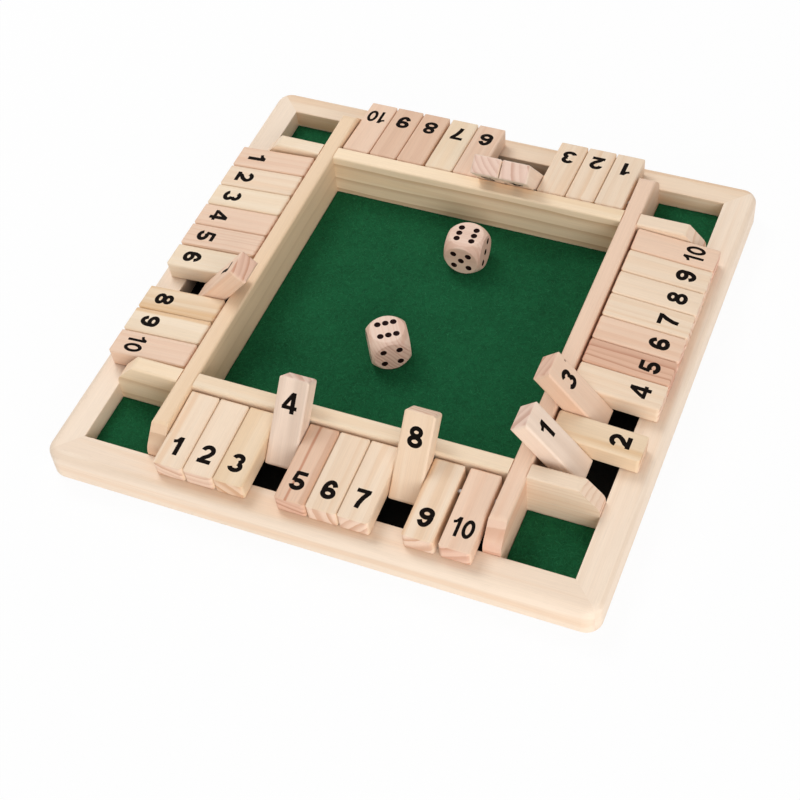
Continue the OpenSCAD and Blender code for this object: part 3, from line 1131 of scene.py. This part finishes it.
@dataclass
class Die:
    """A wooden die with painted pips."""

    node: str
    turn: float
    seed: int
    pip_radius: float = 1.2 * MM
    spill: float = 0.16 * MM
    pip_depth: float = 0.4 * MM
    pip_step: float = 3.25 * MM
    paint: float = 0.03 * MM
    rings: int = 5
    sides: int = 24

    CUP_SHARE = 0.985
    # the spilled rim: shares of the spill outwards and of the paint's thickness upwards
    LIP = ((0.0, 0.8), (0.8, 0.5), (1.0, -0.5))

    PLACES = {
        1: ((0, 0),),
        2: ((-1, 1), (1, -1)),
        3: ((-1, -1), (0, 0), (1, 1)),
        4: ((-1, -1), (-1, 1), (1, -1), (1, 1)),
        5: ((-1, -1), (-1, 1), (0, 0), (1, -1), (1, 1)),
        6: ((-1, -1), (-1, 0), (-1, 1), (1, -1), (1, 0), (1, 1)),
    }
    TURNS = {
        1: (180, 0, 0), 2: (-90, 0, 0), 3: (90, 0, 90),
        4: (90, 0, -90), 5: (90, 0, 0), 6: (0, 0, 0),
    }

    def pip_cap(self, build: BMesh, place: Matrix) -> None:
        """Adds the paint of one pip, a shallow cup that lines its dimple and spills over its rim.

        Args:
            build: The mesh being built.
            place: The pip's place, its Z out of the face.
        """
        ball = (self.pip_radius ** 2 + self.pip_depth ** 2) / (2 * self.pip_depth)
        radii = [self.pip_radius * self.CUP_SHARE * ring / self.rings
                 for ring in range(1, self.rings + 1)]
        profile = [(r, ball - math.sqrt(ball ** 2 - r ** 2) - self.pip_depth + self.paint)
                   for r in radii]
        profile += [(self.pip_radius + out * self.spill, up * self.paint) for out, up in self.LIP]
        turns = [math.tau * k / self.sides for k in range(self.sides)]
        layers = [[build.verts.new(place @ Vector((r * math.cos(turn), r * math.sin(turn), z)))
                   for turn in turns] for r, z in profile]
        centre = build.verts.new(place @ Vector((0, 0, self.paint - self.pip_depth)))
        for k in range(self.sides):
            build.faces.new((centre, layers[0][k], layers[0][(k + 1) % self.sides]))
        for inner, outer in zip(layers, layers[1:]):
            band(build, inner, outer)

    def build(self, paint: Material) -> None:
        """Dresses the die and paints its pips."""
        low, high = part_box(self.node)
        centre = (low + high) / 2
        spin = Matrix.Rotation(self.turn, 4, "Z")
        wood = WoodFinish(WoodTone.MAPLE, ring_mm=1.4, contrast=0.45, streaks=0.5)
        dress(self.node, wood.material(
            f"{self.node}_maple", GrainFrame(centre, spin.to_3x3() @ ALONG_X), self.seed))
        build = bmesh.new()
        for number, places in self.PLACES.items():
            face = Euler([math.radians(a) for a in self.TURNS[number]]).to_matrix().to_4x4()
            for x, y in places:
                spot = Matrix.Translation((x * self.pip_step, y * self.pip_step,
                                           (high.z - low.z) / 2))
                self.pip_cap(build, Matrix.Translation(centre) @ spin @ face @ spot)
        add_piece(f"{self.node}_pips", mesh_from(build, f"{self.node}_pips", smooth=True),
                  self.node, paint)


# ---------- studio ----------


@dataclass(frozen=True)
class Viewpoint:
    """The camera: its bearing round the tray, its roll, its aim and its lens."""

    azimuth: float = math.radians(27.28)
    elevation: float = math.radians(50.24)
    roll: float = math.radians(-6.716)
    unit: float = 199.96 * MM
    distance: float = 3.2861
    across: float = -0.0361
    up: float = -0.1737
    lens_mm: float = 72.74
    sensor_mm: float = 36.0
    clip_start: float = 0.01

    def place(self, rim: float) -> None:
        """Sets the camera up, with its aim measured from the height of the frame's upper face."""
        toward = Vector((math.sin(self.azimuth) * math.cos(self.elevation),
                         -math.cos(self.azimuth) * math.cos(self.elevation),
                         math.sin(self.elevation)))
        level = UP.cross(toward).normalized()
        rise = toward.cross(level)
        c, s = math.cos(self.roll), math.sin(self.roll)
        right, top = level * c + rise * s, rise * c - level * s
        spot = (toward * self.distance + right * self.across + top * self.up) * self.unit
        data = bpy.data.cameras.new("camera")
        data.lens = self.lens_mm
        data.sensor_width = self.sensor_mm
        data.clip_start = self.clip_start
        camera = in_scene("camera", data)
        turn = Matrix((right, top, toward)).transposed().to_4x4()
        turn.translation = spot + Vector((0, 0, rim))
        camera.matrix_world = turn
        bpy.context.scene.camera = camera


@dataclass(frozen=True)
class Lamp:
    """A soft square lamp that points at the tray."""

    name: str
    place: Triple
    size: float
    watts: float

    def hang(self) -> None:
        """Hangs the lamp."""
        data = bpy.data.lights.new(self.name, "AREA")
        data.shape = "SQUARE"
        data.size = self.size
        data.energy = self.watts
        lamp = in_scene(self.name, data)
        lamp.location = self.place
        lamp.rotation_euler = (-Vector(self.place)).to_track_quat("-Z", "Y").to_euler()


@dataclass
class Studio:
    """White floor, even sky and two soft lamps."""

    sky: float = 0.49
    floor_half: float = 3.0
    paper: Colour = (0.94, 0.94, 0.94)
    paper_glow: float = 0.93

    LAMPS = (Lamp("key_lamp", (-0.75, 0.55, 1.25), 0.7, 9.4),
             Lamp("fill_lamp", (0.85, -1.10, 0.45), 1.0, 11.0))

    @staticmethod
    def seen(graph: Graph) -> Socket:
        """1 for rays from the camera, a mirror or glass, and 0 for the others."""
        path = graph.add("ShaderNodeLightPath").outputs
        either = graph.math("MAXIMUM", path["Is Camera Ray"], path["Is Glossy Ray"])
        return graph.math("MAXIMUM", either, path["Is Transmission Ray"])

    def build(self) -> None:
        """Builds the floor, the sky and the lamps."""
        world = bpy.data.worlds.new("sky")
        world.use_nodes = True
        bpy.context.scene.world = world
        graph = Graph(world.node_tree)
        graph.feed(graph.find("BACKGROUND"), {"Color": WHITE, "Strength": graph.math(
            "MULTIPLY_ADD", self.seen(graph), 1.0 - self.sky, self.sky)})
        for lamp in self.LAMPS:
            lamp.hang()
        h = self.floor_half
        mesh = flat_square("floor", (-h, -h), (h, h), 0)
        floor = in_scene("floor", mesh)
        mesh.materials.append(self.floor_material())
        bpy.context.scene.view_settings.view_transform = "Standard"

    def floor_material(self) -> Material:
        """White paper that is seen as white and keeps a faint shadow."""
        material, graph = new_material("white_paper")
        graph.surface({"Base Color": self.paper, "Roughness": 0.9})
        glow = graph.add("ShaderNodeEmission", {"Color": WHITE, "Strength": 1.0})
        share = graph.math("MULTIPLY", self.seen(graph), self.paper_glow)
        both = graph.add("ShaderNodeMixShader", {
            0: share, 1: graph.find("BSDF_PRINCIPLED").outputs[0], 2: glow.outputs[0]})
        graph.feed(graph.find("OUTPUT_MATERIAL"), {"Surface": both.outputs[0]})
        return material


# ---------- all together ----------


def main() -> None:
    """Builds the looks piece by piece."""
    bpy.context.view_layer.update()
    Viewpoint().place(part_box("frame_front")[1].z)
    Studio().build()
    Tray().build()
    dress("hinge_rods", SteelFinish().material("rod_steel"))
    Felts().build()
    TileSet().build()
    pip_paint = InkFinish(srgb(24, 9, 8), rough=0.6).material("pip_paint")
    Die("die_a", turn=math.radians(123.3), seed=301).build(pip_paint)
    Die("die_b", turn=math.radians(0.6), seed=302).build(pip_paint)


if __name__ == "__main__":
    logging.basicConfig(level=logging.INFO, format="%(message)s")
    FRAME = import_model()
    main()
